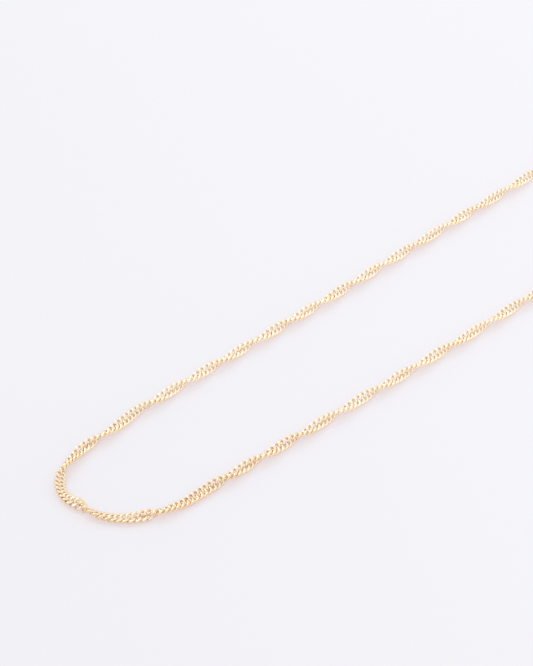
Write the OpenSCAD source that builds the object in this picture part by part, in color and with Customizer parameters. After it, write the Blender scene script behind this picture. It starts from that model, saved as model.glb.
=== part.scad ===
// A fine twisted curb chain for the neck, laid on a flat surface in one narrow closed loop.
// +X runs along the loop from the tight bend to the clasp, and z = 0 is the surface it lies on.
// The run of links is one swept tube here, as wide as the twisted band of links.

/* [Chain] */
// Width of the band of links, and so the diameter of the swept tube
band_w = 1.6; // [1.4:0.1:2]
// Length of the closed necklace, clasp included
chain_len = 450; // [400:2:600]
// Wire of the round link soldered on each end of the chain
end_wire_d = 0.36; // [0.3:0.02:0.4]
// Diameter of that end link, to the middle of its wire
end_link_d = 1.24; // [1.2:0.02:1.3]

/* [Clasp] */
// Diameter of the spring ring, to the middle of its tube
clasp_d = 4.4; // [4.2:0.1:4.5]
// Thickness of the spring ring's tube
clasp_tube_d = 1.1; // [0.9:0.05:1.15]
// Thickness of the sliding gate inside that tube
gate_d = 0.8; // [0.6:0.05:0.85]
// Diameter of the eyelet that stands on the spring ring, to the middle of its wire
eyelet_d = 1.24; // [1.2:0.02:1.3]
// Wire of the eyelet
eyelet_wire_d = 0.44; // [0.36:0.02:0.46]

/* [Joining rings] */
// Diameter of both joining rings, to the middle of their wire
ring_d = 2.5; // [2.4:0.05:2.6]
// Wire of the ring between the chain and the clasp
clasp_ring_wire_d = 0.5; // [0.4:0.02:0.52]
// Wire of the ring that the clasp closes on
catch_ring_wire_d = 0.44; // [0.36:0.02:0.46]

/* [Hidden] */
$fn = 48;
gold = [0.93, 0.80, 0.60];

// The clasp's parts follow each other along a line across the end of the loop. Each has its place along
// that line, its height, and its tilt, so that the rings pass through each other and nothing touches.
wire_play = 0.2;
ground_play = 0.01;
first_link_roll = 75;
clasp_ring_tilt = -3;
clasp_tilt = -6;
last_link_tilt = 10;

// First end link: it stands on the surface, and the clasp ring's wire runs through its middle
first_link_z = (end_link_d * sin(first_link_roll) + end_wire_d) / 2 + 2 * ground_play;
clasp_ring_at = ring_d / 2 * cos(clasp_ring_tilt);
clasp_ring_z = first_link_z - ring_d / 2 * sin(clasp_ring_tilt);

// Spring ring: its eyelet's middle is where the clasp ring's far wire is
eyelet_sink = 0.12;
eyelet_out = (clasp_d + clasp_tube_d + eyelet_d) / 2 - eyelet_sink;
eyelet_at = clasp_ring_at + ring_d / 2 * cos(clasp_ring_tilt);
eyelet_z = clasp_ring_z - ring_d / 2 * sin(clasp_ring_tilt);
clasp_at = eyelet_at + eyelet_out * cos(clasp_tilt);
clasp_z = eyelet_z - eyelet_out * sin(clasp_tilt);

// Catch ring: it stands on the surface, upright, round the far side of the spring ring's tube
tube_side_at = clasp_at + clasp_d / 2 * cos(clasp_tilt);
catch_ring_at = tube_side_at + (ring_d - catch_ring_wire_d - clasp_tube_d) / 2 - wire_play;
catch_ring_z = (ring_d + catch_ring_wire_d) / 2 + ground_play;

// Last end link: its middle is where the catch ring's wire comes down to its height
last_link_z = first_link_z - 3 * ground_play;
last_link_at = catch_ring_at + sqrt(pow(ring_d / 2, 2) - pow(catch_ring_z - last_link_z, 2));

// The tube starts just outside each end link's hole, and the clasp is in the middle of the loop's end
tube_from_link = (end_link_d - end_wire_d) / 2 + 0.6 * wire_play;
first_link_y = last_link_at / 2;
end_y = first_link_y + tube_from_link;

// Way of the chain over the surface, from one side of the clasp round to the other.
// x is measured from the outermost point of the tight bend.
way = [
    [208.7, 10], [205, 13.7], [200, 15], [190, 14.8], [170, 13.5], [150, 12.4], [125, 11.2],
    [104, 10.6], [80, 10.3], [56, 9.8], [36, 9.8], [22, 9.8], [19.5, 9.8], [15.8, 9.4], [11.8, 9.1],
    [7.8, 8.8], [4, 7.6], [0.8, 4.8], [0, 2.2], [0.2, 0], [0.7, -3], [1.8, -4.7], [3, -6.2],
    [6.5, -8.1], [10.5, -8.9], [14.5, -9.2], [20, -9.4], [30, -9.8], [46, -10.3], [60, -10.7],
    [80, -10.9], [104, -11], [125, -11.4], [150, -12.4],
    [170, -13.5], [190, -14.8], [200, -15], [205, -13.7], [208.7, -10]
];
// Both runs are lengthened or shortened beyond this x, by half the change each
stretch_from_x = 110;
way_len = 452;
stretch = (chain_len - way_len) / 2;
// The clasp's line lies this far beyond the first and the last point of the way
end_step = 1.3;
end_x = way[0].x + stretch + end_step;
route = concat(
    [[end_x, end_y]],
    [for (p = way) [p.x + (p.x > stretch_from_x ? stretch : 0), p.y]],
    [[end_x, -end_y]]
);
last = len(route) - 1;

// The spring ring's gate, its collars and its knob
gate_from = 50;
gate_sweep = 62;
collar_sweep = 7;
collar_stand = 0.06;
collar_d = clasp_tube_d + 2 * collar_stand;
knob_at = 40;
knob_stem_d = 0.34;
knob_stem_len = 0.5;
knob_d = 0.6;

// The loop's outline in x, from the bend's outer side to the clasp's, which sets the middle of the part
outline_min_x = -band_w / 2;
outline_max_x = end_x + (clasp_d + collar_d) / 2 * sin(gate_from + gate_sweep);
mid_x = (outline_min_x + outline_max_x) / 2;

// Tube made of flat sides: its corners lie outside the round one, so its flats are band_w apart
sides = 8;
steps = 2;
corner_r = band_w / 2 / cos(180 / sides);

function unit(v) = v / norm(v);

// Direction of the route at point i, weighted by the lengths of the two steps that meet there
function middle_dir(i) =
    let (before = route[i] - route[i - 1], after = route[i + 1] - route[i])
    unit(before * norm(after) / norm(before) + after * norm(before) / norm(after));
function route_dir(i) =
    i == 0 ? unit(2 * unit(route[1] - route[0]) - middle_dir(1))
    : i == last ? unit(2 * unit(route[last] - route[last - 1]) - middle_dir(last - 1))
    : middle_dir(i);

// Point and direction at t, from 0 to 1, of the smooth curve from route point i to the next
function curve_point(i, t) =
    let (reach = norm(route[i + 1] - route[i]))
    (2 * pow(t, 3) - 3 * pow(t, 2) + 1) * route[i]
    + (pow(t, 3) - 2 * pow(t, 2) + t) * reach * route_dir(i)
    + (3 * pow(t, 2) - 2 * pow(t, 3)) * route[i + 1]
    + (pow(t, 3) - pow(t, 2)) * reach * route_dir(i + 1);
function curve_dir(i, t) =
    let (reach = norm(route[i + 1] - route[i]))
    unit(
        (6 * pow(t, 2) - 6 * t) * (route[i] - route[i + 1])
        + (3 * pow(t, 2) - 4 * t + 1) * reach * route_dir(i)
        + (3 * pow(t, 2) - 2 * t) * reach * route_dir(i + 1)
    );

// Corners of the tube's cross-section at one place, standing across the route
function section(at, along) = [
    for (k = [0:sides - 1])
        let (turn = (k + 0.5) * 360 / sides)
        [
            at.x - along.y * corner_r * cos(turn),
            at.y + along.x * corner_r * cos(turn),
            band_w / 2 + corner_r * sin(turn)
        ]
];

module swept_run() {
    places = [
        for (i = [0:last - 1], k = [0:steps - 1])
            section(curve_point(i, k / steps), curve_dir(i, k / steps)),
        section(route[last], route_dir(last))
    ];
    count = len(places);
    corners = [for (ring = places, p = ring) p];
    walls = [
        for (i = [0:count - 2], k = [0:sides - 1])
            let (a = i * sides + k, b = i * sides + (k + 1) % sides)
            each [[a, b, b + sides], [a, b + sides, a + sides]]
    ];
    near_cap = [for (k = [0:sides - 1]) sides - 1 - k];
    far_cap = [for (k = [0:sides - 1]) (count - 1) * sides + k];
    polyhedron(points = corners, faces = concat(walls, [near_cap, far_cap]));
}

// A closed ring of round wire lying flat, with d measured to the middle of the wire
module wire_ring(d, wire_d) {
    rotate_extrude()
        translate([d / 2, 0])
        circle(d = wire_d);
}

// Part of such a ring, from one angle round by sweep
module wire_arc(d, wire_d, from, sweep) {
    rotate([0, 0, from])
        rotate_extrude(angle = sweep)
        translate([d / 2, 0])
        circle(d = wire_d);
}

// Puts a part on the line across the end of the loop, at a distance past the first link
module on_end_line(along, z, roll = 0, tilt = 0) {
    translate([end_x - mid_x, first_link_y - along, z])
        rotate([0, 0, -90])
        rotate([0, tilt, 0])
        rotate([roll, 0, 0])
        children();
}

module chain() {
    color(gold) {
        translate([-mid_x, 0, 0])
            swept_run();
        on_end_line(0, first_link_z, roll = first_link_roll)
            wire_ring(end_link_d, end_wire_d);
        on_end_line(last_link_at, last_link_z, tilt = last_link_tilt)
            wire_ring(end_link_d, end_wire_d);
    }
}

module clasp_ring() {
    color(gold)
        on_end_line(clasp_ring_at, clasp_ring_z, tilt = clasp_ring_tilt)
        wire_ring(ring_d, clasp_ring_wire_d);
}

module knob() {
    rotate([0, 0, knob_at])
        translate([(clasp_d + clasp_tube_d) / 2 - eyelet_sink, 0, 0])
        rotate([0, 90, 0]) {
            cylinder(d = knob_stem_d, h = knob_stem_len);
            translate([0, 0, knob_stem_len])
                sphere(d = knob_d);
        }
}

module clasp() {
    color(gold)
        on_end_line(clasp_at, clasp_z, tilt = clasp_tilt) {
            wire_arc(clasp_d, clasp_tube_d, gate_from + gate_sweep, 360 - gate_sweep);
            wire_ring(clasp_d, gate_d);
            for (collar_from = [gate_from - collar_sweep, gate_from + gate_sweep])
                wire_arc(clasp_d, collar_d, collar_from, collar_sweep);
            translate([-eyelet_out, 0, 0])
                rotate([90, 0, 0])
                wire_ring(eyelet_d, eyelet_wire_d);
            knob();
        }
}

module catch_ring() {
    color(gold)
        on_end_line(catch_ring_at, catch_ring_z, roll = 90)
        wire_ring(ring_d, catch_ring_wire_d);
}

chain();
clasp_ring();
clasp();
catch_ring();
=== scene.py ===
import math

import bpy
import numpy as np
from mathutils import Matrix, Vector


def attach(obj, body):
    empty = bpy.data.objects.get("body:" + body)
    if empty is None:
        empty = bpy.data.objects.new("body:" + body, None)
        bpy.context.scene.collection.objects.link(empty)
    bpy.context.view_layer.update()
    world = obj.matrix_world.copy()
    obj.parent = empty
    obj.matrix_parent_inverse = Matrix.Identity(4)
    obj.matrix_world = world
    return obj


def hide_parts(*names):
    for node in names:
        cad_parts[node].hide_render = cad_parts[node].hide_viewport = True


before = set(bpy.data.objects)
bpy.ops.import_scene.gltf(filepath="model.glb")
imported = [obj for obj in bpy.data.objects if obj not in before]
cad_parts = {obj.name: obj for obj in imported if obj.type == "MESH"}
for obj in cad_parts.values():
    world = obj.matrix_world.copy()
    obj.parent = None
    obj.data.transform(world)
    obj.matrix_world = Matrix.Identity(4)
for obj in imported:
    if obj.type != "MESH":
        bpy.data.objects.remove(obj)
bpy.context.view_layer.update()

bl_info = {
    "name": "Twisted curb neck chain",
    "version": (1, 0, 0),
    "blender": (4, 5, 0),
    "location": "3D View > Sidebar > Neck chain",
    "description": "Builds the links, finishes and studio of a fine twisted curb neck chain",
    "category": "Object",
}

MM = 0.001

# Way of the chain over the surface, as the CAD source has it at a necklace length of 450 mm: from the
# first end link along the far run, round the bend, and back along the near run to the last end link.
# x is measured from the outermost point of the bend, and WAY_TO_FRAME_X takes it to the frame's x.
WAY = MM * np.array([
    (209, 5.172), (207.7, 10), (204, 13.7), (199, 15), (189, 14.8), (169, 13.5), (149, 12.4),
    (124, 11.2), (104, 10.6), (80, 10.3), (56, 9.8), (36, 9.8), (22, 9.8), (19.5, 9.8), (15.8, 9.4),
    (11.8, 9.1), (7.8, 8.8), (4, 7.6), (0.8, 4.8), (0, 2.2), (0.2, 0), (0.7, -3), (1.8, -4.7),
    (3, -6.2), (6.5, -8.1), (10.5, -8.9), (14.5, -9.2), (20, -9.4), (30, -9.8), (46, -10.3),
    (60, -10.7), (80, -10.9), (104, -11), (124, -11.4), (149, -12.4), (169, -13.5), (189, -14.8),
    (199, -15), (204, -13.7), (207.7, -10), (209, -5.172),
])
WAY_TO_FRAME_X = -105.403 * MM
# Steps that the smooth curve takes from each point of the way to the next
WAY_STEPS = 80

# Where the band stands edge-on to the camera in the photo: the first such place, measured along the
# way from its start, and the lengths from each to the next, in millimetres.
FIRST_EDGE_ON = 115.8
HALF_TURNS = [
    7.8, 6.6, 7.8, 6.9, 6.9, 6.9, 6.5, 7.0, 6.9, 6.6, 7.1, 9.8, 8.8, 10.0, 9.5, 11.7, 6.8, 6.9, 7.6,
    7.9, 7.5, 7.4, 8.3, 7.5,
]
# In the bend the band turns over unevenly. For each such half turn, by its place in that list: shares
# of its length, and of its turn there.
UNEVEN_TURNS = {
    11: ((0.13, 0.19), (0.6, 0.58)),
    12: ((0.17, 0.18), (0.29, 0.42), (0.6, 0.68)),
    13: ((0.15, 0.3), (0.5, 0.36), (0.8, 0.55)),
    14: ((0.3, 0.18), (0.55, 0.25), (0.84, 0.46)),
    15: ((0.3, 0.19), (0.72, 0.37), (0.82, 0.52)),
}

# End links, as the CAD source poses them: they lie on the line across the end of the loop, each with
# its y, its z, its roll about that line and its tilt
END_LINE_X = 103.597 * MM
END_LINE_TURN = -90
END_LINKS = {
    "end_link_first": (4.612 * MM, 0.799 * MM, 75, 0),
    "end_link_last": (-4.612 * MM, 0.769 * MM, 0, 10),
}
END_LINK_D = 1.24 * MM
END_LINK_WIRE = 0.36 * MM
END_LINK_CORNERS = 64
END_LINK_SIDES = 16

# The photo's camera: its place, its turn from +Y towards +X, and how far it looks down
CAMERA_AT = (-266.53 * MM, -195.82 * MM, 212.37 * MM)
CAMERA_TURN = math.radians(45)
CAMERA_DOWN = math.radians(36)
NEAREST_SEEN = 10 * MM
# Focal length for each unit of the frame's height, and the longer side of the sensor
LENS_PER_FRAME = 2500 / 666
SENSOR = 36

# The square key light behind the chain: its place, where it points and its width, in metres
KEY_AT = (-0.12, 0.36, 0.4)
KEY_AIM = (-0.06, 0, 0)
KEY_SIZE = 0.22
# From the middle of the square floor to its edge, in metres
FLOOR_HALF = 3

# Shape of one link at this pitch: how far its wire's middle line reaches along the chain, how far it
# leans that way across the band, and how far it rises and is shifted through the band
LINK_PITCH = 0.77 * MM
LINK_REACH = 0.577 * MM
LINK_LEAN = 0.089 * MM
LINK_RISE = 0.184 * MM
LINK_SHIFT = 0.031 * MM


class ChainSizes(bpy.types.PropertyGroup):
    pitch: bpy.props.FloatProperty(
        name="Link pitch",
        description="Length of chain that each link adds",
        default=LINK_PITCH,
        unit="LENGTH",
    )
    wire: bpy.props.FloatProperty(
        name="Link wire",
        description="Thickness of the wire that the links are made of",
        default=0.37 * MM,
        unit="LENGTH",
    )
    band: bpy.props.FloatProperty(
        name="Band width",
        description="Width of the links across the chain",
        default=1.66 * MM,
        unit="LENGTH",
    )
    thickness: bpy.props.FloatProperty(
        name="Band thickness",
        description="Thickness of the band of links, whose faces are filed flat",
        default=0.57 * MM,
        unit="LENGTH",
    )
    half_turn: bpy.props.FloatProperty(
        name="Half turn",
        description="Length of chain in which the band turns over once, where the photo doesn't show it",
        default=7.2 * MM,
        unit="LENGTH",
    )


class GoldLook(bpy.types.PropertyGroup):
    colour: bpy.props.FloatVectorProperty(
        name="Gold",
        description="Colour of the polished gold",
        default=(0.98, 0.88, 0.74),
        subtype="COLOR",
        min=0,
        max=1,
    )
    # The warmer, darker gold of the random spots, which also serves as painted shade on the links'
    # rounded outer edges
    deep_tone_and_edge_shade: bpy.props.FloatVectorProperty(
        name="Deeper gold",
        description="Warmer tone of the links' rounded outer edges",
        default=(0.955, 0.78, 0.53),
        subtype="COLOR",
        min=0,
        max=1,
    )
    roughness: bpy.props.FloatProperty(
        name="Roughness",
        description="Roughness of the polish",
        default=0.2,
        min=0,
        max=1,
        subtype="FACTOR",
    )


class StudioLook(bpy.types.PropertyGroup):
    # Part of this colour glows as painted fill light in the floor's shadows, by the shading below
    floor: bpy.props.FloatVectorProperty(
        name="Floor",
        description="Colour of the surface that the chain lies on",
        default=(0.853, 0.818, 0.853),
        subtype="COLOR",
        min=0,
        max=1,
    )
    shading: bpy.props.FloatVectorProperty(
        name="Shading",
        description="How far the floor's red, green and blue take part in light and shadow",
        default=(0.19, 0.41, 0.46),
        min=0,
        max=1,
    )
    sky: bpy.props.FloatProperty(
        name="Room light",
        description="Strength of the even light from all round",
        default=1.08,
        min=0,
    )
    key: bpy.props.FloatProperty(
        name="Key light",
        description="Power of the soft light behind the chain",
        default=0.5,
        unit="POWER",
        min=0,
    )


class Wire:
    """A socket of a node tree. Sums and products, with each other or numbers, become Math nodes."""

    def __init__(self, tree, socket=None):
        self.tree = tree
        self.socket = socket

    def node(self, kind, settings, inputs, output=0):
        """Adds a node, sets its settings and then its sockets, and gives one of its outputs."""
        made = self.tree.nodes.new(kind)
        for name, value in settings.items():
            setattr(made, name, value)
        for name, value in inputs.items():
            if isinstance(value, Wire):
                self.tree.links.new(value.socket, made.inputs[name])
            else:
                made.inputs[name].default_value = value
        return Wire(self.tree, made.outputs[output] if made.outputs else None)

    def maths(self, operation, first, second):
        return self.node("ShaderNodeMath", {"operation": operation}, {0: first, 1: second})

    def __add__(self, other):
        return self.maths("ADD", self, other)

    def __radd__(self, other):
        return self.maths("ADD", other, self)

    def __sub__(self, other):
        return self.maths("SUBTRACT", self, other)

    def __rsub__(self, other):
        return self.maths("SUBTRACT", other, self)

    def __mul__(self, other):
        return self.maths("MULTIPLY", self, other)

    def __rmul__(self, other):
        return self.maths("MULTIPLY", other, self)


def new_material(name):
    """An empty material, and the start of its node tree."""
    material = bpy.data.materials.new(name)
    material.use_nodes = True
    material.node_tree.nodes.clear()
    return material, Wire(material.node_tree)


# How many spots of tone and of haze, dents and scratches the gold has to a metre. The scratches run
# along x: they lie this many times closer along x, y and z.
TONE_SPOTS = 420
HAZE_SPOTS = 1500
DENTS = 900
SCRATCHES = 5200
SCRATCHES_CLOSER = (1, 7, 3)
# How deep the dents and the scratches are, how strongly they show, and the share of each
BUMP_DEPTH = 0.01 * MM
BUMP_STRENGTH = 0.35
DENTS_SHARE = 0.8
SCRATCHES_SHARE = 0.25
# How much rougher the haziest spots are than the clearest
HAZE = 0.14
# How far the random spots take the warmer tone, how far the rounded edges take it as painted shade, and
# how far all is paler than that
SPOT_WARMTH = 0.8
EDGE_SHADE_STRENGTH = 1.5
PALER = 0.25
# How far the round rings and the clasp, which aren't filed, take the painted shade of rounded edges
ROUNDED_PART_SHADE = 0.5
# Painted shade darkens the gold a little round the bend: by which tint, which way over the surface, and
# how far that way it starts and is full
BEND_SHADE_TINT = (0.922, 0.866, 0.788)
BEND_SHADE_TOWARDS = (-1, -0.8, 0)
BEND_SHADE_FROM = 70 * MM
BEND_SHADE_FULL = 100 * MM


def gold_material(name, look, rounded_shade=0):
    """Polished gold: pale where filed, with painted shade that makes rounded edges warmer and darker and
    the bend a little darker, and with hazy spots and fine scratches.
    """
    material, start = new_material(name)
    place = start.node("ShaderNodeTexCoord", {}, {}, "Object")
    edge_shade = start.node("ShaderNodeAttribute", {"attribute_name": "edge_shade"}, {}, "Fac")

    def noise(scale, detail, vector=place):
        inputs = {"Vector": vector, "Scale": scale, "Detail": detail}
        return start.node("ShaderNodeTexNoise", {}, inputs)

    # The random spots and, as painted shade, the rounded edges take the warmer, darker gold
    warmth_and_shade = noise(TONE_SPOTS, 3) * SPOT_WARMTH - PALER + (edge_shade + rounded_shade) * EDGE_SHADE_STRENGTH
    tone_and_shade = start.node(
        "ShaderNodeMix",
        {"data_type": "RGBA"},
        {"Factor": warmth_and_shade, 6: (*look.colour, 1), 7: (*look.deep_tone_and_edge_shade, 1)},
        2,
    )
    # Painted shade: the gold darkens a little towards the bend
    way = start.node(
        "ShaderNodeVectorMath", {"operation": "DOT_PRODUCT"}, {0: place, 1: BEND_SHADE_TOWARDS}, "Value"
    )
    bend_shade = (way - BEND_SHADE_FROM) * (1 / (BEND_SHADE_FULL - BEND_SHADE_FROM))
    tone_and_shade = start.node(
        "ShaderNodeMix",
        {"data_type": "RGBA", "blend_type": "MULTIPLY"},
        {"Factor": bend_shade, 6: tone_and_shade, 7: (*BEND_SHADE_TINT, 1)},
        2,
    )
    haze = noise(HAZE_SPOTS, 4)
    stretched = start.node(
        "ShaderNodeVectorMath", {"operation": "MULTIPLY"}, {0: place, 1: SCRATCHES_CLOSER}
    )
    scratches = noise(SCRATCHES, 2, stretched)
    dents = noise(DENTS, 2)
    height = dents * DENTS_SHARE + scratches * SCRATCHES_SHARE
    bump = start.node(
        "ShaderNodeBump",
        {},
        {"Strength": BUMP_STRENGTH, "Distance": BUMP_DEPTH, "Height": height},
    )
    shader = start.node(
        "ShaderNodeBsdfPrincipled",
        {},
        {
            "Base Color": tone_and_shade,
            "Metallic": 1,
            "Roughness": look.roughness - HAZE / 2 + haze * HAZE,
            "Normal": bump,
        },
    )
    start.node("ShaderNodeOutputMaterial", {}, {"Surface": shader})
    return material


# The floor's painted light and shade: its darkest and lightest tone, and how fast it gets lighter along x
# and y, for each metre. Its lightness goes from 0 to 1: it is FLOOR_MIDDLE at the frame's origin, and its
# grain adds to it.
FLOOR_SHADE_TONES = (0.935, 1.02)
FLOOR_PAINTED_LIGHT_TOWARDS = (5.1, -4.3, 0)
FLOOR_MIDDLE = 0.85
FLOOR_GRAIN = 0.2
FLOOR_GRAIN_SCALE = 9
FLOOR_ROUGHNESS = 0.75


def floor_material(name, look):
    """A smooth matt paper-like floor, with painted shade that makes it a little darker towards -x and +y,
    and part of its colour glowing as painted fill light.
    """
    material, start = new_material(name)
    place = start.node("ShaderNodeTexCoord", {}, {}, "Object")
    cloud = {"Vector": place, "Scale": FLOOR_GRAIN_SCALE, "Detail": 2}
    grain = start.node("ShaderNodeTexNoise", {}, cloud)
    # Painted light and shade: the floor gets lighter towards +x and -y and darker the other way
    rise = {0: place, 1: FLOOR_PAINTED_LIGHT_TOWARDS}
    painted_light = start.node("ShaderNodeVectorMath", {"operation": "DOT_PRODUCT"}, rise, "Value")
    # The share of the floor's colour that takes light and shadow; the rest glows, most in red, as painted
    # fill light that lifts the floor's shadows and leaves them pinkish
    lit = np.array(look.floor) * look.shading
    painted_fill_glow = np.array(look.floor) - lit

    def tone_and_shade(colour):
        ends = {6: (*(colour * FLOOR_SHADE_TONES[0]), 1), 7: (*(colour * FLOOR_SHADE_TONES[1]), 1)}
        inputs = {"Factor": painted_light + grain * FLOOR_GRAIN + FLOOR_MIDDLE, **ends}
        return start.node("ShaderNodeMix", {"data_type": "RGBA"}, inputs, 2)

    shader = start.node(
        "ShaderNodeBsdfPrincipled",
        {},
        {
            "Base Color": tone_and_shade(lit),
            "Roughness": FLOOR_ROUGHNESS,
            "Emission Color": tone_and_shade(painted_fill_glow),
            "Emission Strength": 1,
        },
    )
    start.node("ShaderNodeOutputMaterial", {}, {"Surface": shader})
    return material


def unit(vectors):
    return vectors / np.linalg.norm(vectors, axis=-1, keepdims=True)


def smooth_way(points, steps):
    """The CAD source's smooth curve through the points, as close points along it."""
    legs = np.diff(points, axis=0)
    reach = np.linalg.norm(legs, axis=1)[:, None]
    middle = unit(legs[:-1] * reach[1:] / reach[:-1] + legs[1:] * reach[:-1] / reach[1:])
    first = unit(2 * unit(legs[0]) - middle[0])
    final = unit(2 * unit(legs[-1]) - middle[-1])
    heading = np.vstack([first, middle, final])
    t = (np.arange(steps) / steps)[:, None, None]
    curve = (
        (2 * t**3 - 3 * t**2 + 1) * points[:-1]
        + (t**3 - 2 * t**2 + t) * reach * heading[:-1]
        + (3 * t**2 - 2 * t**3) * points[1:]
        + (t**3 - t**2) * reach * heading[1:]
    )
    return np.vstack([curve.transpose(1, 0, 2).reshape(-1, 2), points[-1:]])


class Course:
    """The line on the surface that the band of links follows, with the directions along it."""

    def __init__(self):
        self.points = smooth_way(WAY + (WAY_TO_FRAME_X, 0), WAY_STEPS)
        steps = np.linalg.norm(np.diff(self.points, axis=0), axis=1)
        self.run = np.concatenate([[0], np.cumsum(steps)])
        self.length = self.run[-1]

    def at(self, run):
        """Place on the surface, direction along, sideways direction and up, at each length along it."""

        def plane(lengths):
            return np.stack([np.interp(lengths, self.run, self.points[:, k]) for k in (0, 1)], -1)

        span = 0.1 * MM
        ahead = np.minimum(run + span, self.length)
        behind = np.maximum(run - span, 0)
        along = unit(plane(ahead) - plane(behind))
        zero = np.zeros_like(run)
        place = np.column_stack([plane(run), zero])
        sideways = np.column_stack([-along[:, 1], along[:, 0], zero])
        up = np.column_stack([zero, zero, zero + 1])
        return place, np.column_stack([along, zero]), sideways, up


def camera_forward():
    return Vector((
        math.sin(CAMERA_TURN) * math.cos(CAMERA_DOWN),
        math.cos(CAMERA_TURN) * math.cos(CAMERA_DOWN),
        -math.sin(CAMERA_DOWN),
    ))


# Half the length over which a change of twist is spread, and the number of places averaged there
TWIST_SMOOTHING = 0.5 * MM
SMOOTHING_PLACES = 9
# How fast the band sags away from an upright place, which stands on the surface
SAG = 0.0135 / MM
# Room left under the band, for the links that swing a little
GROUND_PLAY = 0.01 * MM
# Roll at each end of the chain, in half turns, so that the link there passes through its end link
FIRST_ROLL = 0.05
LAST_ROLL = 0.64


def roll_course(course, sizes):
    """Lengths along the course and the band's roll at each, both rising. At roll 0 the band lies flat."""
    edge_on = MM * (FIRST_EDGE_ON + np.concatenate([[0], np.cumsum(HALF_TURNS)]))
    _, _, sideways, up = course.at(edge_on)
    view = np.array(camera_forward())
    seen = np.arctan2(up @ view, sideways @ view)
    rolls = [seen[0]]
    for angle in seen[1:]:
        aim = rolls[-1] + math.pi
        rolls.append(angle + math.pi * round((aim - angle) / math.pi))
    lengths = [edge_on[0]]
    turned = [rolls[0]]
    for k in range(len(HALF_TURNS)):
        for share, turn in (*UNEVEN_TURNS.get(k, ()), (1, 1)):
            lengths.append(edge_on[k] + share * (edge_on[k + 1] - edge_on[k]))
            turned.append(rolls[k] + turn * (rolls[k + 1] - rolls[k]))
    # Out of view the twist is even
    start = turned[0] / math.pi - edge_on[0] / sizes.half_turn
    start_roll = math.pi * (round(start - FIRST_ROLL) + FIRST_ROLL)
    final = turned[-1] / math.pi + (course.length - edge_on[-1]) / sizes.half_turn
    final_roll = math.pi * (round(final - LAST_ROLL) + LAST_ROLL)
    before = [-sizes.half_turn, 0]
    after = [course.length, course.length + sizes.half_turn]
    lengths = [*before, *lengths, *after]
    turned = [start_roll - math.pi, start_roll, *turned, final_roll, final_roll + math.pi]
    return np.array(lengths), np.array(turned)


def roll_at(run, lengths, turned):
    """The roll at each length along the course, with the changes in its twist smoothed."""
    window = TWIST_SMOOTHING * np.linspace(-1, 1, SMOOTHING_PLACES)
    return np.mean([np.interp(run + shift, lengths, turned) for shift in window], axis=0)


def resting_height(run, roll, link):
    """Height of each link's middle: the band stands on the surface where upright, and sags between."""
    needed = np.max(-link[:, 1:] @ np.stack([np.sin(roll), np.cos(roll)]), axis=0)
    gap = run[:, None] - run[None, :]
    return GROUND_PLAY + np.max(needed - SAG * gap**2, axis=1)


def link_line(sizes, corners):
    """Middle line of one link's wire: x along the chain, y across the band, z through the band."""
    t = np.arange(corners) * 2 * math.pi / corners
    scale = sizes.pitch / LINK_PITCH
    x = LINK_REACH * np.cos(t) + LINK_LEAN * np.sin(t)
    y = np.sin(t)
    z = -LINK_RISE * np.sin(2 * t) - LINK_SHIFT * np.cos(2 * t)
    reach = (sizes.band - sizes.wire) / 2 / y.max()
    return np.column_stack([x * scale, y * reach, z * scale])


def tube_corners(line, wire, sides):
    """Corners of a round wire along a closed line, ring after ring."""
    along = unit(np.roll(line, -1, 0) - np.roll(line, 1, 0))
    outward = unit(line - along * np.sum(line * along, axis=1, keepdims=True))
    across = np.cross(along, outward)
    turn = np.arange(sides) * 2 * math.pi / sides
    cos, sin = np.cos(turn)[None, :, None], np.sin(turn)[None, :, None]
    ring = cos * outward[:, None] + sin * across[:, None]
    return (line[:, None] + wire / 2 * ring).reshape(-1, 3)


def tube_faces(rings, sides):
    """Four-cornered faces of a closed tube with that many rings of corners, all facing outwards."""
    ring = np.arange(rings)[:, None]
    side = np.arange(sides)[None, :]
    after = (ring + 1) % rings
    beside = (side + 1) % sides
    near = ring * sides
    far = after * sides
    return np.stack([near + side, near + beside, far + beside, far + side], -1).reshape(-1, 4)


def mesh_object(name, corners, faces, material):
    """A smooth-shaded object made from arrays of corners and four-cornered faces."""
    mesh = bpy.data.meshes.new(name)
    mesh.vertices.add(len(corners))
    mesh.vertices.foreach_set("co", corners.astype(np.float32).ravel())
    mesh.loops.add(faces.size)
    mesh.loops.foreach_set("vertex_index", faces.astype(np.int32).ravel())
    mesh.polygons.add(len(faces))
    mesh.polygons.foreach_set("loop_start", np.arange(0, faces.size, 4, dtype=np.int32))
    mesh.polygons.foreach_set("loop_total", np.full(len(faces), 4, dtype=np.int32))
    mesh.polygons.foreach_set("use_smooth", np.ones(len(faces), dtype=bool))
    mesh.update(calc_edges=True)
    mesh.validate()
    mesh.materials.append(material)
    piece = bpy.data.objects.new(name, mesh)
    bpy.context.scene.collection.objects.link(piece)
    return piece


def add_piece(name, corners, faces, material, edge_shade):
    """A piece that stands for part of the chain node, with how far each corner takes the painted shade of
    a rounded edge.
    """
    piece = mesh_object(name, corners, faces, material)
    layer = piece.data.attributes.new("edge_shade", "FLOAT", "POINT")
    layer.data.foreach_set("value", np.resize(edge_shade, len(corners)).astype(np.float32))
    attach(piece, "root")
    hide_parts("chain")


def chain_gold():
    """The links' gold, made once."""
    made = bpy.data.materials.get("polished_gold_links")
    return made or gold_material("polished_gold_links", bpy.context.scene.neck_chain_gold)


# Pieces that the links are joined in, with the share of the course at which each ends
LINK_PIECES = {"links_far_run": 0.36, "links_bend": 0.64, "links_near_run": 1}
# Corners along a link's wire and round it
LINK_CORNERS = 44
WIRE_SIDES = 10
# How far a link is out of its even roll and swung to either side, by chance
CHANCE_SEED = 5
ROLL_PLAY = math.radians(0.8)
SWING_PLAY = math.radians(0.7)
# From each end of the course, inside the end link's hole, to the middle of the nearest link
FIRST_LINK_INSET = 0.23 * MM


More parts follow.
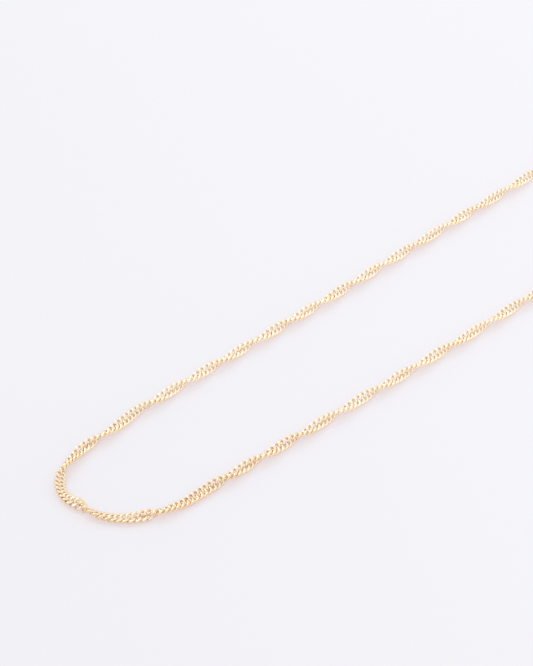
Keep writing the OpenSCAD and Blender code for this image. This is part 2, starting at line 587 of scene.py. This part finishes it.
def one_link(sizes):
    """Corners of one link, both faces filed flat, and how far each is on its rounded outer edge, where
    painted shade makes the gold warmer and darker.
    """
    link = tube_corners(link_line(sizes, LINK_CORNERS), sizes.wire, WIRE_SIDES)
    link[:, 2] = np.clip(link[:, 2], -sizes.thickness / 2, sizes.thickness / 2)
    depth = 1 - np.abs(link[:, 2]) / (sizes.thickness / 2)
    return link, depth * (2 * link[:, 1] / sizes.band) ** 2


def place_links(sizes, link):
    """Corners of every link, and how far along the course each link is, from 0 to 1."""
    course = Course()
    lengths, turned = roll_course(course, sizes)
    clear = course.length - 2 * FIRST_LINK_INSET
    count = round(clear / sizes.pitch) + 1
    run = FIRST_LINK_INSET + clear * np.arange(count) / (count - 1)
    place, along, sideways, up = course.at(run)
    chance = np.random.default_rng(CHANCE_SEED)
    roll = roll_at(run, lengths, turned) + chance.normal(0, ROLL_PLAY, count)
    place[:, 2] = resting_height(run, roll, link)
    wide = np.cos(roll)[:, None] * sideways + np.sin(roll)[:, None] * up
    thin = np.cross(along, wide)
    swing = chance.normal(0, SWING_PLAY, (count, 2, 1))
    along = unit(along + swing[:, 0] * wide + swing[:, 1] * thin)
    wide = unit(wide - along * np.sum(wide * along, axis=1, keepdims=True))
    thin = np.cross(along, wide)
    turns = np.stack([along, wide, thin], axis=1)
    return place[:, None] + np.einsum("cj,njk->nck", link, turns), run / course.length


class ADD_OT_curb_links(bpy.types.Operator):
    """Adds the run of curb links, each turned a little further than the one before"""

    bl_idname = "neck_chain.add_curb_links"
    bl_label = "Add curb links"

    def execute(self, context):
        sizes = context.scene.neck_chain_sizes
        link, edge_shade = one_link(sizes)
        links, share = place_links(sizes, link)
        faces = tube_faces(LINK_CORNERS, WIRE_SIDES)
        begin = 0
        for name, end in LINK_PIECES.items():
            theirs = links[(share > begin) & (share <= end)]
            shift = np.arange(len(theirs))[:, None, None] * theirs.shape[1]
            corners = theirs.reshape(-1, 3)
            add_piece(name, corners, (faces[None] + shift).reshape(-1, 4), chain_gold(), edge_shade)
            begin = end
        return {"FINISHED"}


def round_ring(diameter, wire, corners, sides):
    """Corners of a ring of round wire that lies flat round the origin."""
    turn = np.arange(corners) * 2 * math.pi / corners
    line = diameter / 2 * np.column_stack([np.cos(turn), np.sin(turn), np.zeros(corners)])
    return tube_corners(line, wire, sides)


def turn_about(corners, axis, degrees):
    """Corners turned about an axis through the origin."""
    matrix = np.array(Matrix.Rotation(math.radians(degrees), 3, Vector(axis)))
    return corners @ matrix.T


class ADD_OT_end_links(bpy.types.Operator):
    """Adds the round link on each end of the chain"""

    bl_idname = "neck_chain.add_end_links"
    bl_label = "Add end links"

    def execute(self, context):
        corners = round_ring(END_LINK_D, END_LINK_WIRE, END_LINK_CORNERS, END_LINK_SIDES)
        faces = tube_faces(END_LINK_CORNERS, END_LINK_SIDES)
        for name, (y, z, roll, tilt) in END_LINKS.items():
            placed = turn_about(corners, (1, 0, 0), roll)
            placed = turn_about(placed, (0, 1, 0), tilt)
            placed = turn_about(placed, (0, 0, 1), END_LINE_TURN)
            # Each ring takes painted edge shade all over, at that strength
            add_piece(name, placed + (END_LINE_X, y, z), faces, chain_gold(), ROUNDED_PART_SHADE)
        return {"FINISHED"}


class ADD_OT_clasp_finish(bpy.types.Operator):
    """Gives the clasp and the joining rings their polished gold"""

    bl_idname = "neck_chain.finish_clasp"
    bl_label = "Finish the clasp and rings"

    def execute(self, context):
        # The clasp and rings take painted edge shade all over, at that strength
        gold = gold_material("polished_gold_clasp", context.scene.neck_chain_gold, ROUNDED_PART_SHADE)
        for node in ("clasp_ring", "clasp", "catch_ring"):
            slots = bpy.data.objects[node].material_slots
            if not slots:
                raise RuntimeError(f"{node} has no material slot")
            for slot in slots:
                slot.material = gold
        return {"FINISHED"}


class ADD_OT_studio(bpy.types.Operator):
    """Adds the floor, the lights and the photo's camera"""

    bl_idname = "neck_chain.add_studio"
    bl_label = "Add studio"

    def execute(self, context):
        look = context.scene.neck_chain_studio
        corners = FLOOR_HALF * np.array([(-1, -1, 0), (1, -1, 0), (1, 1, 0), (-1, 1, 0)])
        floor = mesh_object("floor", corners, np.array([[0, 1, 2, 3]]), floor_material("floor", look))

        world = bpy.data.worlds.new("room")
        world.use_nodes = True
        context.scene.world = world
        start = Wire(world.node_tree)
        world.node_tree.nodes.clear()
        sky = start.node("ShaderNodeBackground", {}, {"Color": (1, 1, 1, 1), "Strength": look.sky})
        start.node("ShaderNodeOutputWorld", {}, {"Surface": sky})

        lamp = bpy.data.lights.new("key", "AREA")
        lamp.energy = look.key
        lamp.size = KEY_SIZE
        key = bpy.data.objects.new("key", lamp)
        context.scene.collection.objects.link(key)
        key.location = KEY_AT
        aim = Vector(KEY_AIM) - key.location
        key.rotation_euler = aim.to_track_quat("-Z", "Y").to_euler()

        lens = bpy.data.cameras.new("photo_camera")
        lens.sensor_width = SENSOR
        lens.lens = LENS_PER_FRAME * SENSOR
        lens.clip_start = NEAREST_SEEN
        camera = bpy.data.objects.new("photo_camera", lens)
        context.scene.collection.objects.link(camera)
        camera.location = CAMERA_AT
        camera.rotation_euler = camera_forward().to_track_quat("-Z", "Y").to_euler()
        context.scene.camera = camera
        context.scene.view_settings.view_transform = "Standard"
        return {"FINISHED"}


class VIEW3D_PT_neck_chain(bpy.types.Panel):
    """Lists the sizes and looks, and a button for each step of the build"""

    bl_label = "Neck chain"
    bl_space_type = "VIEW_3D"
    bl_region_type = "UI"
    bl_category = "Neck chain"

    def draw(self, context):
        scene = context.scene
        for group in (scene.neck_chain_sizes, scene.neck_chain_gold, scene.neck_chain_studio):
            for name in group.bl_rna.properties.keys():
                if name not in ("rna_type", "name"):
                    self.layout.prop(group, name)
        for operator in OPERATORS:
            self.layout.operator(operator.bl_idname)


GROUPS = {
    "neck_chain_sizes": ChainSizes,
    "neck_chain_gold": GoldLook,
    "neck_chain_studio": StudioLook,
}
OPERATORS = (ADD_OT_studio, ADD_OT_curb_links, ADD_OT_end_links, ADD_OT_clasp_finish)


def register():
    for name, group in GROUPS.items():
        bpy.utils.register_class(group)
        setattr(bpy.types.Scene, name, bpy.props.PointerProperty(type=group))
    for operator in OPERATORS:
        bpy.utils.register_class(operator)
    bpy.utils.register_class(VIEW3D_PT_neck_chain)


def unregister():
    bpy.utils.unregister_class(VIEW3D_PT_neck_chain)
    for operator in reversed(OPERATORS):
        bpy.utils.unregister_class(operator)
    for name, group in GROUPS.items():
        delattr(bpy.types.Scene, name)
        bpy.utils.unregister_class(group)


def main():
    register()
    bpy.ops.neck_chain.add_studio()
    bpy.ops.neck_chain.add_curb_links()
    bpy.ops.neck_chain.add_end_links()
    bpy.ops.neck_chain.finish_clasp()


if __name__ == "__main__":
    main()
